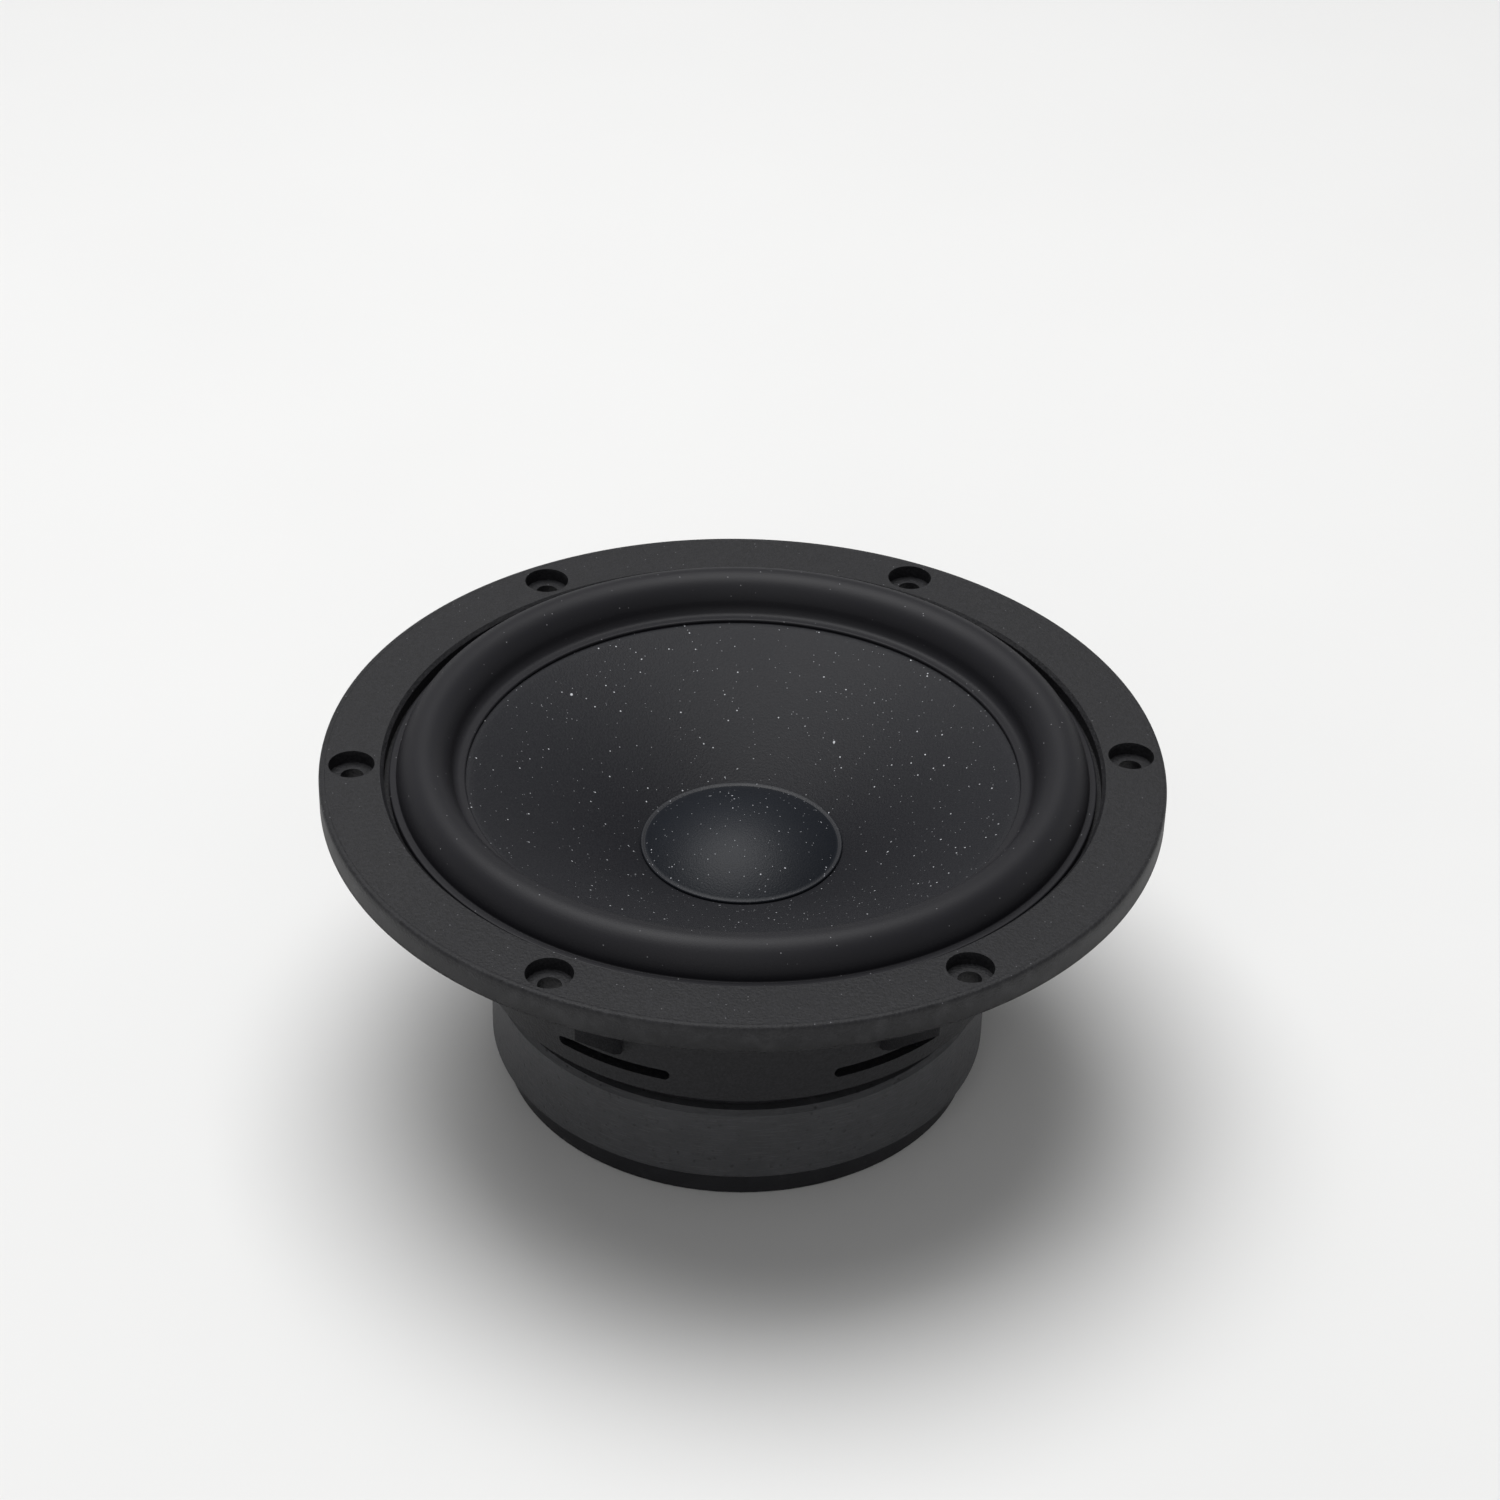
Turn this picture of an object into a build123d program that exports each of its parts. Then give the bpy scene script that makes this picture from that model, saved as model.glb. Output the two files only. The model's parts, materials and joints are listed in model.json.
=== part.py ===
"""A 165 mm (6.5 inch) class cone driver for a car door: cast basket, rubber surround, cone and motor.

Frame: the origin is the centre of the screw circle on the rear (seating) face of the flange, +Z
points out of the cone towards the listener, +X passes through one screw hole. Millimetres.
"""
import os
from math import asin, cos, degrees, radians, sin, sqrt

from build123d import *

os.makedirs("parts", exist_ok=True)

# ---------------------------------------------------------------- driving dimensions
# flange and front opening
RECESS_R = 70.0             # recess in the front face that takes the surround
RECESS_BEVEL = 0.7
SCREW_INSET = 6.2           # recess edge to the screw circle
FLANGE_EDGE = 6.3           # screw circle to the outside
FLANGE_T = 5.5              # rear seating face to front face
FLANGE_ROUND = 0.9
SEAT_Z = 2.2                # ledge the surround is bonded to
LEDGE_W = 3.6               # width of that ledge
SCREW_COUNT = 6
SCREW_HOLE_R = 2.25
SCREW_HEAD_R = 4.5
SCREW_HEAD_DEPTH = 2.7

# basket behind the flange
SKIRT_WALL = 3.3
SKIRT_OUT = 1.5             # plain ring stands this far outside the recess, sets the cut-out
SKIRT_H = 8.0
CUP_R = 53.5                # outside of the cup that carries the spider
CUP_WALL = 3.5
CUP_H = 9.75                # shelf to the motor's front face
RIM_WALL = 2.5              # low rim round the spider's edge
RIM_H = 5.25
LANDING_W = 5.0             # shelf the spider is bonded to
LANDING_T = 2.6
PLATE_T = 3.0               # floor of the cup, bolted to the motor
PLATE_BORE_R = 30.0
ARM_COUNT = 6
ARM_T = 4.0
WINDOW_ARC = 43.0           # opening between two arms, degrees
CORNER_R = 2.0
RIB_W = 5.0
RIB_OUT = 3.2
SLOT_W = 24.0               # air slots under the spider
SLOT_H = 2.2

# surround and cone
LIP_GAP = 1.0               # open groove round the surround's lip
LIP_W = 1.4
LIP_RISE = 0.9
ROLL_W = 10.9
ROLL_HEIGHT = 7.1
FOOT_W = 2.5                # bonded foot on the cone's edge
RUBBER_T = 0.8
CONE_DEPTH = 19.3           # seat to the neck
CONE_T = 0.7
CONE_UNDER = 0.3            # cone edge reaches this far under the roll
CONE_FLAT = 0.8             # flat edge shows this far inside the foot
CONE_BOW_R = 180.0          # radius of the slightly curved cone wall
NECK_H = 2.8
CAP_OVERLAP = 3.55          # coil wrap to the dust cap's edge
CAP_RIM_W = 1.6
CAP_HEIGHT = 6.6
CAP_T = 0.5

# voice coil and spider
COIL_BORE_R = 16.0          # inside of the voice coil former (32 mm coil)
FORMER_T = 0.25
WRAP_T = 0.2
WINDING_T = 0.7
WINDING_H = 14.0
WIRE_W = 1.2
JOINT_R = 1.0
JOINT_OUT = 1.75            # solder joints stand this far off the wrap
SPIDER_DROP = 6.35          # neck to the spider's shelf
SPIDER_T = 0.5
SPIDER_NECK = 3.75
SPIDER_MARGIN = 1.0
SPIDER_WAVE = 1.1
SPIDER_ROLLS = 8
SPIDER_EDGE_GAP = 0.25

# motor
COIL_GAP = 0.5              # winding to top plate
POLE_GAP = 0.55             # former to pole
TOP_PLATE_R = 47.5
TOP_PLATE_T = 6.0
MAGNET_R = 50.0
MAGNET_BORE_R = 22.5
MAGNET_T = 17.0
BACK_PLATE_T = 6.0
POLE_RISE = 1.0             # pole stands this far proud of the top plate
VENT_R = 5.0
MESH_R = 8.0
MESH_T = 0.6
MESH_SEAT = 2.0
RING_H = 4.5
RING_GAP = 0.5
MOTOR_SCREW_COUNT = 4
MOTOR_SCREW_R = 2.0
MOTOR_SCREW_L = 8.0
MOTOR_HEAD_R = 3.8
MOTOR_HEAD_H = 2.3
DRIVE_W = 0.8

# terminals and leads
PAD_OUT = 2.5               # pad stands this far off the cup
BOARD_W = 28.0
BOARD_T = 1.6
BOARD_CUT = 1.6             # relief behind the board
TERMINAL_X = 7.0
TERMINAL_T = 0.5
POSITIVE_W = 4.8
NEGATIVE_W = 2.8
BLADE_L = 8.5
BLADE_DROP = 0.95           # blades below the spider's shelf
EYELET_RISE = 3.75
EAR_RISE = 10.45            # lead hole at the top of each terminal, above the shelf
RIVET_R = 1.25
RIVET_X = 9.0
RIVET_DEPTH = 4.5
LEAD_R = 0.65
LEAD_GAP = 0.1
LEAD_ANGLE = 18.0           # coil exits either side of +Y
LEAD_SHARES = (0.3485, 0.6729, 0.8757)  # bends, as shares of the way to the terminal

# ---------------------------------------------------------------- dependent sizes
screw_r = RECESS_R + SCREW_INSET
flange_r = screw_r + FLANGE_EDGE
body_r = RECESS_R + SKIRT_OUT
lip_r = RECESS_R - LIP_GAP
ledge_r = RECESS_R - LEDGE_W
roll_out_r = lip_r - LIP_W
roll_in_r = roll_out_r - ROLL_W
foot_r = roll_in_r - FOOT_W
roll_mid_r = (roll_in_r + roll_out_r) / 2
roll_half = ROLL_W / 2
lip_angle = degrees(asin(LIP_RISE / ROLL_HEIGHT))
foot_top_z = SEAT_Z + RUBBER_T
lip_top_z = foot_top_z + LIP_RISE
cone_edge_r = roll_in_r + CONE_UNDER
cone_flat_r = foot_r - CONE_FLAT
former_r = COIL_BORE_R + FORMER_T
wrap_r = former_r + WRAP_T
winding_r = former_r + WINDING_T
gap_r = winding_r + COIL_GAP
pole_r = COIL_BORE_R - POLE_GAP
cap_r = wrap_r + CAP_OVERLAP
rise = CONE_DEPTH
run = cone_flat_r - wrap_r
neck_z = SEAT_Z - CONE_DEPTH
neck_low_z = neck_z - NECK_H
landing_z = neck_low_z - SPIDER_DROP
motor_top_z = landing_z - CUP_H
floor_z = motor_top_z + PLATE_T
top_plate_z = motor_top_z - TOP_PLATE_T
magnet_z = top_plate_z - MAGNET_T
back_z = magnet_z - BACK_PLATE_T
pole_top_z = motor_top_z + POLE_RISE
winding_top_z = motor_top_z - TOP_PLATE_T / 2 + WINDING_H / 2
winding_low_z = winding_top_z - WINDING_H
spider_z = landing_z + SPIDER_T / 2
joint_z = (neck_low_z + spider_z) / 2 + 0.4
joint_reach = wrap_r + JOINT_OUT
exits = (90 + LEAD_ANGLE, 90 - LEAD_ANGLE)
skirt_z = -SKIRT_H
cup_in_r = CUP_R - CUP_WALL
rim_in_r = CUP_R - RIM_WALL
landing_r = rim_in_r - LANDING_W
motor_screw_r = (PLATE_BORE_R + cup_in_r) / 2
spider_first_r = wrap_r + SPIDER_NECK
spider_edge = SPIDER_EDGE_GAP + SPIDER_T / 2
spider_pitch = (landing_r - SPIDER_MARGIN - spider_first_r) / SPIDER_ROLLS
board_y = CUP_R + PAD_OUT
board_face = board_y + BOARD_T
ear_z = landing_z + EAR_RISE
eyelet_z = landing_z + EYELET_RISE
blade_z = landing_z - BLADE_DROP
rivet_z = (motor_top_z + landing_z) / 2
board_top_z = ear_z - 2.0


def on_wall(r):
    """Height of the cone's front surface at radius r."""
    half = sqrt(rise**2 + run**2) / 2
    lift = sqrt(CONE_BOW_R**2 - half**2)
    mid_r, mid_z = (cone_flat_r + wrap_r) / 2, (SEAT_Z + neck_z) / 2
    centre_r = mid_r + lift * rise / (2 * half)
    centre_z = mid_z - lift * run / (2 * half)
    return centre_z + sqrt(CONE_BOW_R**2 - (r - centre_r) ** 2)


def spaced(count, offset=0.0):
    """Evenly spaced angles in degrees."""
    return [offset + 360.0 * i / count for i in range(count)]


def save(builder, name):
    """Label one piece and write its file."""
    builder.part.label = name
    export_step(builder.part, f"parts/{name}.step")


def outer_edges(builder, radius):
    """Circular edges of one radius."""
    round_edges = builder.edges().filter_by(GeomType.CIRCLE)
    return round_edges.filter_by(lambda e: abs(e.radius - radius) < 0.01)


def window_corners(builder):
    """Short slanted edges at the four corners of each basket window."""
    return builder.edges().filter_by(GeomType.LINE).filter_by(
        lambda e: abs(e.length - ARM_T) < 0.01
        and abs(abs((e % 0.5).Z) - slope_r / slope_l) < 0.01
    )


def facing(angle):
    """Plane whose normal points outwards along the given direction, its y axis upwards."""
    a = radians(angle)
    return Plane(origin=(0, 0, 0), x_dir=(-sin(a), cos(a), 0), z_dir=(cos(a), sin(a), 0))


# ---------------------------------------------------------------- basket
arm_in = ((rim_in_r, landing_z + RIM_H), (body_r - SKIRT_WALL, skirt_z + 2.0))  # foot, skirt
slope_r, slope_z = arm_in[1][0] - arm_in[0][0], arm_in[1][1] - arm_in[0][1]
slope_l = sqrt(slope_r**2 + slope_z**2)


def arm_out_z(r):
    """Height of the arms' outer face at radius r."""
    return arm_in[0][1] + (r - arm_in[0][0]) * slope_z / slope_r - ARM_T * slope_l / slope_r


def beside_arm(along, off):
    """Point a fraction along the arm's inner line, moved outwards by off."""
    return (
        arm_in[0][0] + along * slope_r + off * slope_z / slope_l,
        arm_in[0][1] + along * slope_z - off * slope_r / slope_l,
    )


with BuildPart() as basket:
    with BuildSketch(Plane.XZ):
        with BuildLine():
            Polyline(
                (flange_r, 0),
                (flange_r, FLANGE_T),
                (RECESS_R + RECESS_BEVEL, FLANGE_T),
                (RECESS_R, FLANGE_T - RECESS_BEVEL),
                (RECESS_R, SEAT_Z),
                (ledge_r, SEAT_Z),
                (ledge_r, -0.4),
                (body_r - SKIRT_WALL, -2.2),
                arm_in[1],
                arm_in[0],
                (arm_in[0][0], landing_z),
                (landing_r, landing_z),
                (landing_r, landing_z - LANDING_T),
                (cup_in_r, floor_z + LANDING_T),
                (cup_in_r, floor_z),
                (PLATE_BORE_R, floor_z),
                (PLATE_BORE_R, motor_top_z),
                (CUP_R, motor_top_z),
                (CUP_R, arm_out_z(CUP_R)),
                (body_r, arm_out_z(body_r)),
                (body_r, 0),
                close=True,
            )
        make_face()
    revolve(axis=Axis.Z)
    with BuildSketch(facing(90).offset(cup_in_r + 0.3)):
        with Locations((0, (motor_top_z + landing_z) / 2)):
            Rectangle(BOARD_W + 2, landing_z - motor_top_z)
    extrude(amount=board_y - cup_in_r - 0.3)
    with BuildSketch(facing(90).offset(board_y - BOARD_CUT)):
        with Locations((0, (landing_z + ear_z) / 2)):
            Rectangle(BOARD_W + 2, ear_z - landing_z)
    extrude(amount=20, mode=Mode.SUBTRACT)
    for angle in spaced(ARM_COUNT, 30.0 - WINDOW_ARC / 2):
        a = radians(angle)
        with BuildSketch(Plane((0, 0, 0), x_dir=(cos(a), sin(a), 0), z_dir=(sin(a), -cos(a), 0))):
            with BuildLine():
                Polyline(
                    beside_arm(0.20, -3.0), beside_arm(0.86, -3.0),
                    beside_arm(0.86, ARM_T + 5.0), beside_arm(0.20, ARM_T + 5.0),
                    close=True,
                )
            make_face()
        revolve(axis=Axis.Z, revolution_arc=WINDOW_ARC, mode=Mode.SUBTRACT)
    for spot in [edge.center() for edge in window_corners(basket)]:
        fillet(basket.edges().sort_by_distance(spot)[0], CORNER_R)
    for angle in spaced(ARM_COUNT):
        a = radians(angle)
        with BuildSketch(Plane((0, 0, 0), x_dir=(cos(a), sin(a), 0), z_dir=(sin(a), -cos(a), 0))):
            with BuildLine():
                Polyline(
                    (CUP_R - 1.0, landing_z - 2.2), (CUP_R + 0.6, landing_z - 2.2),
                    (CUP_R + RIB_OUT, landing_z - 0.5), (body_r, arm_out_z(body_r) - RIB_OUT - 1.0),
                    (body_r, arm_out_z(body_r) + 1.0), (body_r - 1.5, arm_out_z(body_r)),
                    (CUP_R - 1.0, arm_out_z(CUP_R)),
                    close=True,
                )
            make_face()
        extrude(amount=RIB_W / 2, both=True)
    for angle in spaced(ARM_COUNT):
        with BuildSketch(facing(angle).offset(cup_in_r - 3)):
            with Locations((0, floor_z + 1.5)):
                SlotOverall(SLOT_W, SLOT_H)
        extrude(amount=10, mode=Mode.SUBTRACT)
    with Locations(Plane.XY.offset(FLANGE_T)):
        with PolarLocations(screw_r, SCREW_COUNT):
            CounterBoreHole(SCREW_HOLE_R, SCREW_HEAD_R, SCREW_HEAD_DEPTH, FLANGE_T)
    with Locations(Plane.XY.offset(floor_z)):
        with PolarLocations(motor_screw_r, MOTOR_SCREW_COUNT, start_angle=45):
            Hole(2.2, PLATE_T)
    with Locations(facing(90).offset(board_y)):
        with Locations(*[(x, rivet_z) for x in (-RIVET_X, RIVET_X)]):
            Hole(RIVET_R, RIVET_DEPTH)
    fillet(outer_edges(basket, flange_r), FLANGE_ROUND)
save(basket, "basket")

# ---------------------------------------------------------------- cone, dust cap, surround
with BuildPart() as surround:
    with BuildSketch(Plane.XZ):
        with BuildLine():
            Polyline(
                (roll_out_r - 0.05, lip_top_z),
                (lip_r, lip_top_z),
                (lip_r, SEAT_Z),
                (roll_out_r - RUBBER_T, SEAT_Z),
                (roll_out_r - RUBBER_T, foot_top_z),
            )
            EllipticalCenterArc(
                (roll_mid_r, foot_top_z), roll_half - RUBBER_T, ROLL_HEIGHT - RUBBER_T, 0,
                arc_size=180,
            )
            Polyline(
                (roll_in_r + RUBBER_T, foot_top_z),
                (roll_in_r + RUBBER_T, SEAT_Z),
                (foot_r, SEAT_Z),
                (foot_r, foot_top_z),
                (roll_in_r, foot_top_z),
            )
            roll_top = EllipticalCenterArc(
                (roll_mid_r, foot_top_z), roll_half, ROLL_HEIGHT, lip_angle, arc_size=180 - lip_angle
            )
            Line(roll_top @ 0, (roll_out_r - 0.05, lip_top_z))
        make_face()
    revolve(axis=Axis.Z)
save(surround, "surround")

with BuildPart() as cone:
    with BuildSketch(Plane.XZ):
        with BuildLine():
            Line((cone_edge_r, SEAT_Z), (cone_flat_r, SEAT_Z))
            RadiusArc((cone_flat_r, SEAT_Z), (wrap_r, neck_z), -CONE_BOW_R)
            Line((wrap_r, neck_z), (wrap_r, neck_low_z))
            offset(amount=CONE_T, side=Side.LEFT, kind=Kind.INTERSECTION)
        make_face()
    revolve(axis=Axis.Z)
save(cone, "cone")

with BuildPart() as dust_cap:
    with BuildSketch(Plane.XZ):
        with BuildLine():
            top = (0, on_wall(cap_r) + CAP_HEIGHT)
            under = (0, top[1] - CAP_T)
            edge = (cap_r - 0.8, on_wall(cap_r - 0.8) + 0.8)
            inner = (cap_r - 1.4, on_wall(cap_r - 1.4) + 0.5)
            TangentArc(top, edge, tangent=(1, 0))
            low_in, low_out = (cap_r - CAP_RIM_W, on_wall(cap_r - CAP_RIM_W)), (cap_r, on_wall(cap_r))
            Polyline(edge, (cap_r, on_wall(cap_r) + 0.6), low_out)
            RadiusArc(low_out, low_in, -CONE_BOW_R)
            Line(low_in, inner)
            TangentArc(under, inner, tangent=(1, 0))
            Line(under, top)
        make_face()
    revolve(axis=Axis.Z)
save(dust_cap, "dust_cap")

# ---------------------------------------------------------------- voice coil
with BuildPart() as former:
    with BuildSketch(Plane.XY.offset(winding_low_z - 0.6)):
        Circle(former_r)
        Circle(COIL_BORE_R, mode=Mode.SUBTRACT)
    extrude(amount=neck_z - winding_low_z + 1.2)
save(former, "voice_coil_former")

with BuildPart() as winding:
    with BuildSketch(Plane.XY.offset(winding_low_z)):
        Circle(winding_r)
        Circle(former_r, mode=Mode.SUBTRACT)
    extrude(amount=WINDING_H)
save(winding, "voice_coil_winding")

with BuildPart() as wires:
    for angle in exits:
        with BuildSketch(facing(angle).offset(former_r - 1)):
            with Locations((0, (winding_top_z + joint_z) / 2)):
                Rectangle(WIRE_W, joint_z - winding_top_z)
        extrude(amount=WRAP_T + 2)
    with BuildSketch(Plane.XY.offset(winding_top_z)):
        Circle(wrap_r)
        Circle(former_r, mode=Mode.SUBTRACT)
    extrude(amount=joint_z - winding_top_z, mode=Mode.INTERSECT)
save(wires, "coil_lead_wires")

with BuildPart() as wrap:
    with BuildSketch(Plane.XY.offset(winding_top_z)):
        Circle(wrap_r)
        Circle(former_r, mode=Mode.SUBTRACT)
    extrude(amount=neck_z + 0.3 - winding_top_z)
    for angle in exits:
        with BuildSketch(facing(angle).offset(former_r - 1)):
            with Locations((0, (winding_top_z + joint_z) / 2)):
                Rectangle(WIRE_W, joint_z - winding_top_z)
        extrude(amount=WRAP_T + 2, mode=Mode.SUBTRACT)
save(wrap, "coil_wrap")

with BuildPart() as joints:
    for angle in exits:
        with BuildSketch(facing(angle).offset(former_r - 1)):
            with Locations((0, joint_z)):
                Circle(JOINT_R)
        extrude(amount=joint_reach - former_r + 1)
    with BuildSketch(Plane.XY.offset(joint_z)):
        Circle(wrap_r)
    extrude(amount=2 * JOINT_R, both=True, mode=Mode.SUBTRACT)
save(joints, "coil_solder_joints")

# ---------------------------------------------------------------- spider
with BuildPart() as spider:
    with BuildSketch(Plane.XZ):
        with BuildLine():
            Line((wrap_r, spider_z), (spider_first_r, spider_z))
            for i in range(SPIDER_ROLLS):
                start = spider_first_r + i * spider_pitch
                ThreePointArc(
                    (start, spider_z),
                    (start + spider_pitch / 2, spider_z + SPIDER_WAVE * (1 - 2 * (i % 2))),
                    (start + spider_pitch, spider_z),
                )
            Line((landing_r - SPIDER_MARGIN, spider_z), (rim_in_r - spider_edge, spider_z))
            offset(amount=SPIDER_T / 2, side=Side.BOTH, kind=Kind.INTERSECTION)
        make_face()
    revolve(axis=Axis.Z)
    with BuildSketch(Plane.XY.offset(spider_z)):
        Circle(wrap_r)
    extrude(amount=2, both=True, mode=Mode.SUBTRACT)
save(spider, "spider")

# ---------------------------------------------------------------- motor
with BuildPart() as top_plate:
    with BuildSketch(Plane.XY.offset(top_plate_z)):
        Circle(TOP_PLATE_R)
        Circle(gap_r, mode=Mode.SUBTRACT)
    extrude(amount=TOP_PLATE_T)
    with Locations(Plane.XY.offset(motor_top_z)):
        with PolarLocations(motor_screw_r, MOTOR_SCREW_COUNT, start_angle=45):
            Hole(MOTOR_SCREW_R, TOP_PLATE_T)
    chamfer(outer_edges(top_plate, TOP_PLATE_R), 0.4)
save(top_plate, "top_plate")

with BuildPart() as magnet:
    with BuildSketch(Plane.XY.offset(magnet_z)):
        Circle(MAGNET_R)
        Circle(MAGNET_BORE_R, mode=Mode.SUBTRACT)
    extrude(amount=MAGNET_T)
    chamfer(outer_edges(magnet, MAGNET_R), 0.9)
save(magnet, "magnet")

with BuildPart() as yoke:
    with BuildSketch(Plane.XZ):
        with BuildLine():
            Polyline(
                (MESH_R, back_z),
                (TOP_PLATE_R - 0.6, back_z),
                (TOP_PLATE_R, back_z + 0.6),
                (TOP_PLATE_R, magnet_z),
                (pole_r, magnet_z),
                (pole_r, pole_top_z - 0.8),
                (pole_r - 0.8, pole_top_z),
                (VENT_R + 2.5, pole_top_z),
                (VENT_R, pole_top_z - 3.5),
                (VENT_R, back_z + MESH_SEAT),
                (MESH_R, back_z + MESH_SEAT),
                close=True,
            )
        make_face()
    revolve(axis=Axis.Z)
save(yoke, "yoke")

with BuildPart() as shorting_ring:
    with BuildSketch(Plane.XY.offset(magnet_z)):
        Circle(MAGNET_BORE_R - RING_GAP)
        Circle(pole_r, mode=Mode.SUBTRACT)
    extrude(amount=RING_H)
save(shorting_ring, "shorting_ring")

with BuildPart() as vent_mesh:
    with BuildSketch(Plane.XY.offset(back_z + MESH_SEAT - MESH_T)):
        Circle(MESH_R)
    extrude(amount=MESH_T)
save(vent_mesh, "vent_mesh")

with BuildPart() as motor_screws:
    with Locations(Plane.XY.offset(floor_z)):
        with PolarLocations(motor_screw_r, MOTOR_SCREW_COUNT, start_angle=45):
            Cylinder(MOTOR_SCREW_R, MOTOR_SCREW_L, align=(Align.CENTER, Align.CENTER, Align.MAX))
            Cylinder(MOTOR_HEAD_R, MOTOR_HEAD_H, align=(Align.CENTER, Align.CENTER, Align.MIN))
    heads = motor_screws.edges().group_by(Axis.Z)[-1]
    fillet(heads, 0.9)
    with Locations(Plane.XY.offset(floor_z + MOTOR_HEAD_H)):
        with PolarLocations(motor_screw_r, MOTOR_SCREW_COUNT, start_angle=45):
            Box(MOTOR_HEAD_R + 0.4, DRIVE_W, 2.4, mode=Mode.SUBTRACT)
            Box(DRIVE_W, MOTOR_HEAD_R + 0.4, 2.4, mode=Mode.SUBTRACT)
save(motor_screws, "motor_screws")

# ---------------------------------------------------------------- terminals
with BuildPart() as board:
    with BuildSketch(facing(90).offset(board_y)) as outline:
        with Locations((0, (motor_top_z + 1 + board_top_z) / 2)):
            RectangleRounded(BOARD_W, board_top_z - motor_top_z - 1, 1.5)
        with Locations(*[(x, rivet_z) for x in (-RIVET_X, RIVET_X)]):
            Circle(RIVET_R, mode=Mode.SUBTRACT)
        with Locations(*[(x, eyelet_z) for x in (-TERMINAL_X, TERMINAL_X)]):
            Circle(RIVET_R, mode=Mode.SUBTRACT)
    extrude(amount=BOARD_T)
save(board, "terminal_board")

for side, blade_w, name in (
    (-1, POSITIVE_W, "terminal_positive"), (1, NEGATIVE_W, "terminal_negative"),
):
    with BuildPart() as terminal:
        with BuildSketch(Plane.YZ.offset(side * TERMINAL_X)):
            with BuildLine():
                Polyline(
                    (board_face + TERMINAL_T / 2, ear_z + 1.5),
                    (board_face + TERMINAL_T / 2, blade_z),
                    (board_face + BLADE_L, blade_z),
                )
                offset(amount=TERMINAL_T / 2, side=Side.BOTH, kind=Kind.ARC)
            make_face()
        extrude(amount=blade_w / 2, both=True)
        with Locations(facing(90).offset(board_face + TERMINAL_T)):
            with Locations((-side * TERMINAL_X, eyelet_z)):
                Hole(RIVET_R, TERMINAL_T)
            with Locations((-side * TERMINAL_X, ear_z)):
                Hole(LEAD_R + LEAD_GAP, TERMINAL_T)
        with Locations(Plane.XY.offset(blade_z + TERMINAL_T / 2)):
            with Locations((side * TERMINAL_X, board_face + 0.7 * BLADE_L)):
                Hole(0.7, TERMINAL_T)
    save(terminal, name)

with BuildPart() as eyelets:
    with BuildSketch(facing(90).offset(board_y - 0.4)):
        with Locations(*[(x, eyelet_z) for x in (-TERMINAL_X, TERMINAL_X)]):
            Circle(2.1)
    extrude(amount=0.4)
    with BuildSketch(facing(90).offset(board_face + TERMINAL_T)):
        with Locations(*[(x, eyelet_z) for x in (-TERMINAL_X, TERMINAL_X)]):
            Circle(2.1)
    extrude(amount=0.4)
    with BuildSketch(facing(90).offset(board_y - 0.4)):
        with Locations(*[(x, eyelet_z) for x in (-TERMINAL_X, TERMINAL_X)]):
            Circle(RIVET_R)
    extrude(amount=BOARD_T + TERMINAL_T + 0.8)
    with BuildSketch(facing(90).offset(board_y - 1)):
        with Locations(*[(x, eyelet_z) for x in (-TERMINAL_X, TERMINAL_X)]):
            Circle(0.8)
    extrude(amount=6, mode=Mode.SUBTRACT)
save(eyelets, "terminal_eyelets")

with BuildPart() as rivets:
    with BuildSketch(facing(90).offset(board_face)):
        with Locations(*[(x, rivet_z) for x in (-RIVET_X, RIVET_X)]):
            Circle(2.4)
    extrude(amount=1.1)
    fillet(rivets.edges().group_by(Axis.Y)[-1], 0.7)
    with BuildSketch(facing(90).offset(board_y - RIVET_DEPTH)):
        with Locations(*[(x, rivet_z) for x in (-RIVET_X, RIVET_X)]):
            Circle(RIVET_R)
    extrude(amount=BOARD_T + RIVET_DEPTH)
save(rivets, "board_rivets")

with BuildPart() as beads:
    with Locations(*[(x, board_face + TERMINAL_T, ear_z) for x in (-TERMINAL_X, TERMINAL_X)]):
        Sphere(1.3)
    split(bisect_by=facing(90).offset(board_face + TERMINAL_T), keep=Keep.TOP)
save(beads, "terminal_solder_beads")

# ---------------------------------------------------------------- braided leads to the coil
for side, angle, name in (
    (-1, 90 + LEAD_ANGLE, "tinsel_lead_positive"), (1, 90 - LEAD_ANGLE, "tinsel_lead_negative"),
):
    a = radians(angle)
    start = Vector(joint_reach * cos(a), joint_reach * sin(a), joint_z)
    knee = start + Vector(4.0 * cos(a), 4.0 * sin(a), 0)
    end = Vector(side * TERMINAL_X, board_face + TERMINAL_T, ear_z)
    rise_y, crest_y, drop_y = [knee.Y + (end.Y - knee.Y) * share for share in LEAD_SHARES]
    with BuildPart() as lead:
        with BuildLine() as path:
            FilletPolyline(
                start,
                knee,
                (side * (TERMINAL_X - 0.4), rise_y, joint_z + 6.0),
                (side * TERMINAL_X, crest_y, ear_z + 2.6),
                (side * TERMINAL_X, drop_y, ear_z),
                end,
                radius=6.0,
            )
        with BuildSketch(facing(angle).offset(joint_reach)):
            with Locations((0, joint_z)):
                Circle(LEAD_R)
        sweep()
    save(lead, name)
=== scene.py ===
"""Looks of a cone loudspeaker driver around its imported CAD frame. Metres, +Z out of the cone."""
import json

import bpy
import numpy as np
from mathutils import Matrix, Vector

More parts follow.
